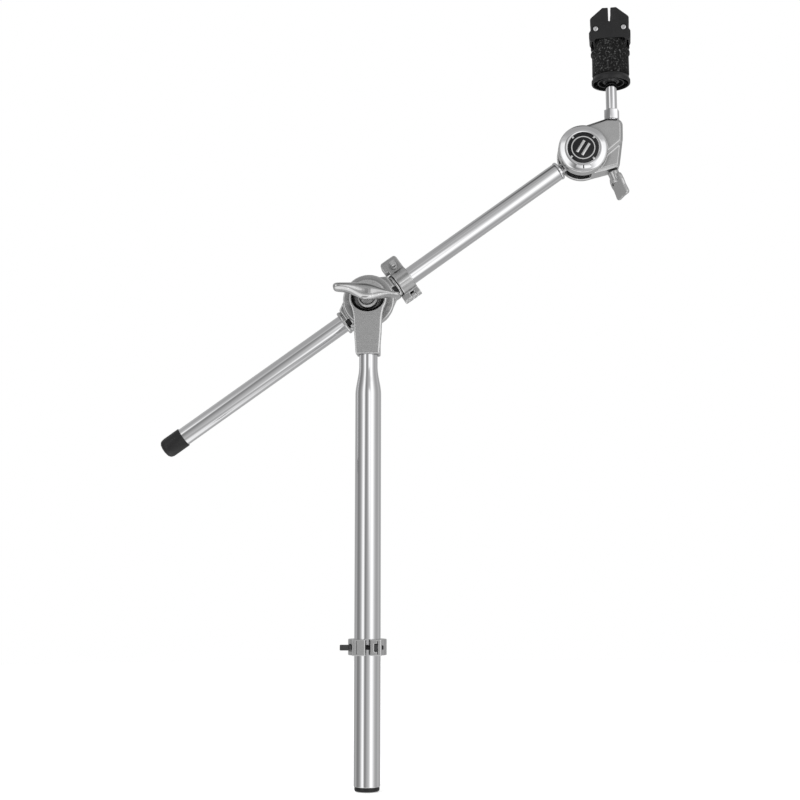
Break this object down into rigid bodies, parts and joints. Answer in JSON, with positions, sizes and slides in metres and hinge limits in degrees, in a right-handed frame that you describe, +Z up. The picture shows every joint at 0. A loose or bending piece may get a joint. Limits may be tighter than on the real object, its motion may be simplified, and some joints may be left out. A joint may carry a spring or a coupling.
{
  "type": "cymbal boom stand",
  "caption": "Boom arm on a round post with a tilting clamp, sliding boom tube, memory locks, a tilting head and a quick-release cymbal seat.",
  "frame": {"origin": "centre of the post's foot, on the flat underside of its plug", "axes": "+Z up the post, +X to the side the boom reaches, -Y towards the wing nut"},
  "size_m": [0.4198, 0.0741, 0.6825],
  "materials": {
    "chrome": "polished chrome plate",
    "plated_casting": "plated die casting, satin to bright",
    "steel": "plated steel",
    "black_plastic": "moulded, satin black",
    "badge": "gloss black",
    "felt": "pressed wool felt, black",
    "nylon": "black nylon"
  },
  "bodies": {
    "post": {"post_tube": "chrome", "post_foot_plug": "black_plastic", "tilter_bracket": "plated_casting", "bracket_roll_pin": "steel", "friction_washer": "nylon"},
    "post_lock": {"post_lock_left_jaw": "plated_casting", "post_lock_right_jaw": "plated_casting", "post_lock_hinge_pin": "steel", "post_lock_nut": "steel"},
    "post_lock_screw": {"post_lock_key_screw": "steel"},
    "boom_clamp": {"boom_clamp": "plated_casting", "clamp_eye_bolt": "steel"},
    "wing_nut_washer": {"wing_nut_washer": "steel"},
    "wing_nut": {"tilter_wing_nut": "plated_casting"},
    "boom_liner": {"boom_liner": "nylon"},
    "boom": {"boom_tube": "chrome", "boom_end_cap": "black_plastic", "boom_tip_plug": "chrome", "boom_tip_roll_pin": "steel", "gyro_disc": "steel"},
    "boom_lock": {"boom_lock_front_jaw": "plated_casting", "boom_lock_rear_jaw": "plated_casting", "boom_lock_hinge_pin": "steel", "boom_lock_nut": "steel"},
    "boom_lock_screw": {"boom_lock_key_screw": "steel"},
    "tilter_head": {"head_housing": "plated_casting", "head_front_cap": "chrome", "head_badge": "badge", "head_cap_screw": "steel", "head_brake_shoe": "steel", "cymbal_rod": "chrome", "rod_lock_nut": "chrome", "cymbal_sleeve": "black_plastic", "lower_felt": "felt"},
    "head_wing_bolt": {"head_wing": "plated_casting", "head_bolt_stem": "steel"},
    "quick_nut": {"quick_nut_body": "black_plastic", "upper_felt": "felt", "quick_nut_left_pin": "chrome", "quick_nut_right_pin": "chrome", "quick_nut_left_spring": "steel", "quick_nut_right_spring": "steel"},
    "left_lever": {"quick_nut_left_lever": "black_plastic"},
    "right_lever": {"quick_nut_right_lever": "black_plastic"}
  },
  "joints": [
    {"name": "post_lock_slide", "type": "slide", "parent": "post", "child": "post_lock", "axis": [0, 0, 1], "range_m": [-0.1, 0.2]},
    {"name": "post_lock_screw_spin", "type": "hinge", "parent": "post_lock", "child": "post_lock_screw", "pos_m": [0.00173, -0.01651, 0.1173], "axis": [-0.9945, -0.1045, 0], "range_deg": [-180, 180]},
    {"name": "boom_tilt", "type": "hinge", "parent": "post", "child": "boom_clamp", "pos_m": [0, 0, 0.4148], "axis": [0, -1, 0], "range_deg": [-65, 46]},
    {"name": "wing_nut_travel", "type": "slide", "parent": "boom_clamp", "child": "wing_nut_washer", "axis": [0, -1, 0], "range_m": [0, 0.00251]},
    {"name": "wing_nut_spin", "type": "hinge", "parent": "wing_nut_washer", "child": "wing_nut", "pos_m": [0, -0.015, 0.4148], "axis": [0, -1, 0], "range_deg": [0, 720]},
    {"name": "boom_roll", "type": "hinge", "parent": "boom_clamp", "child": "boom_liner", "pos_m": [0, 0.0175, 0.4148], "axis": [0.8151, 0, 0.5793], "continuous": true},
    {"name": "boom_slide", "type": "slide", "parent": "boom_liner", "child": "boom", "axis": [0.8151, 0, 0.5793], "range_m": [0, 0.15]},
    {"name": "boom_lock_slide", "type": "slide", "parent": "boom", "child": "boom_lock", "axis": [0.8151, 0, 0.5793], "range_m": [0, 0.14]},
    {"name": "boom_lock_screw_spin", "type": "hinge", "parent": "boom_lock", "child": "boom_lock_screw", "pos_m": [0.02075, 0.0175, 0.44844], "axis": [0, -1, 0], "range_deg": [-180, 180]},
    {"name": "head_tilt", "type": "hinge", "parent": "boom", "child": "tilter_head", "pos_m": [0.1887, 0.0175, 0.5489], "axis": [0, -1, 0], "range_deg": [-60, 50]},
    {"name": "head_wing_spin", "type": "hinge", "parent": "tilter_head", "child": "head_wing_bolt", "pos_m": [0.2143, 0.0175, 0.5359], "axis": [0.3746, 0, -0.9272], "range_deg": [-180, 180]},
    {"name": "quick_nut_lift", "type": "slide", "parent": "tilter_head", "child": "quick_nut", "axis": [0, 0, 1], "range_m": [0, 0.045]},
    {"name": "left_lever_squeeze", "type": "hinge", "parent": "quick_nut", "child": "left_lever", "pos_m": [0.20377, 0.01879, 0.662], "axis": [-0.1045, -0.9945, 0], "range_deg": [0, 5], "stiffness_Nm_per_rad": 0.3, "springref_deg": -11.46},
    {"name": "right_lever_squeeze", "type": "hinge", "parent": "quick_nut", "child": "right_lever", "pos_m": [0.22823, 0.01621, 0.662], "axis": [0.1045, 0.9945, 0], "range_deg": [0, 5], "stiffness_Nm_per_rad": 0.3, "springref_deg": -11.46}
  ],
  "couplings": [
    {"joint": "wing_nut_travel", "follows": "wing_nut_spin", "m_per_rad": 0.00019894}
  ]
}
